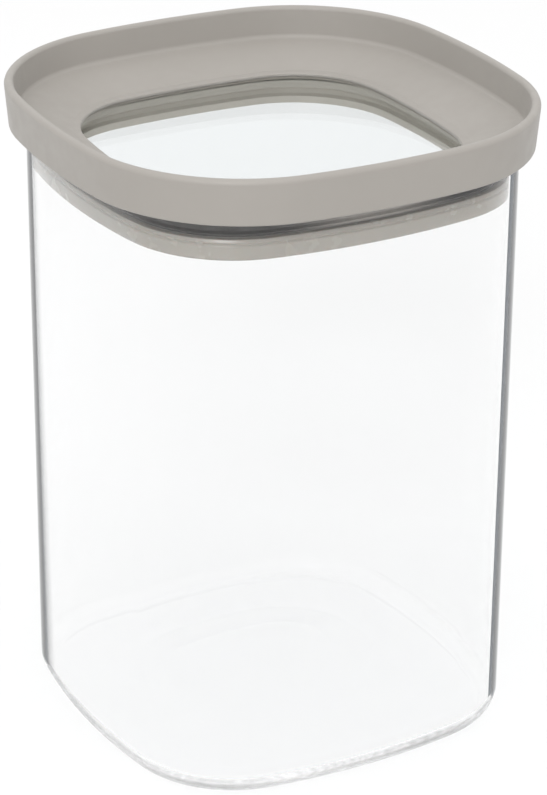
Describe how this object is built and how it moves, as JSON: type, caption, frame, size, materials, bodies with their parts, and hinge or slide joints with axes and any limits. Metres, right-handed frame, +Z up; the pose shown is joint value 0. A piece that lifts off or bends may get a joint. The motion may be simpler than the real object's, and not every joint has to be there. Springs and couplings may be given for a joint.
{
  "type": "glass storage container",
  "caption": "Square soft-cornered clear storage jar with a push-in windowed lid that lifts straight off; the lid's raised lip takes the base of another jar.",
  "frame": {"origin": "centre of the plane that the jar's base rests on", "axes": "+Z up along the jar's axis, the way the lid lifts off; X and Y square to the jar's flat sides"},
  "size_m": [0.112, 0.112, 0.154],
  "materials": {
    "clear_glass": "clear, polished, faintly cool at the edges",
    "window_clear": "clear, polished, faint cool tint",
    "lid_plastic": "warm grey moulded plastic, fine satin",
    "ring_plastic": "warm grey moulded plastic, satin",
    "gasket_rubber": "warm grey silicone, soft satin",
    "seal_rubber": "dark brown-grey elastomer, matt"
  },
  "bodies": {
    "jar": {"glass_body": "clear_glass"},
    "lid": {"lid_frame": "lid_plastic", "pane_seal": "seal_rubber", "window_pane": "window_clear", "clamp_ring": "ring_plastic", "lid_gasket": "gasket_rubber"}
  },
  "joints": [
    {"name": "lid_lift", "type": "slide", "parent": "jar", "child": "lid", "axis": [0, 0, 1], "range_m": [0, 0.11]}
  ]
}
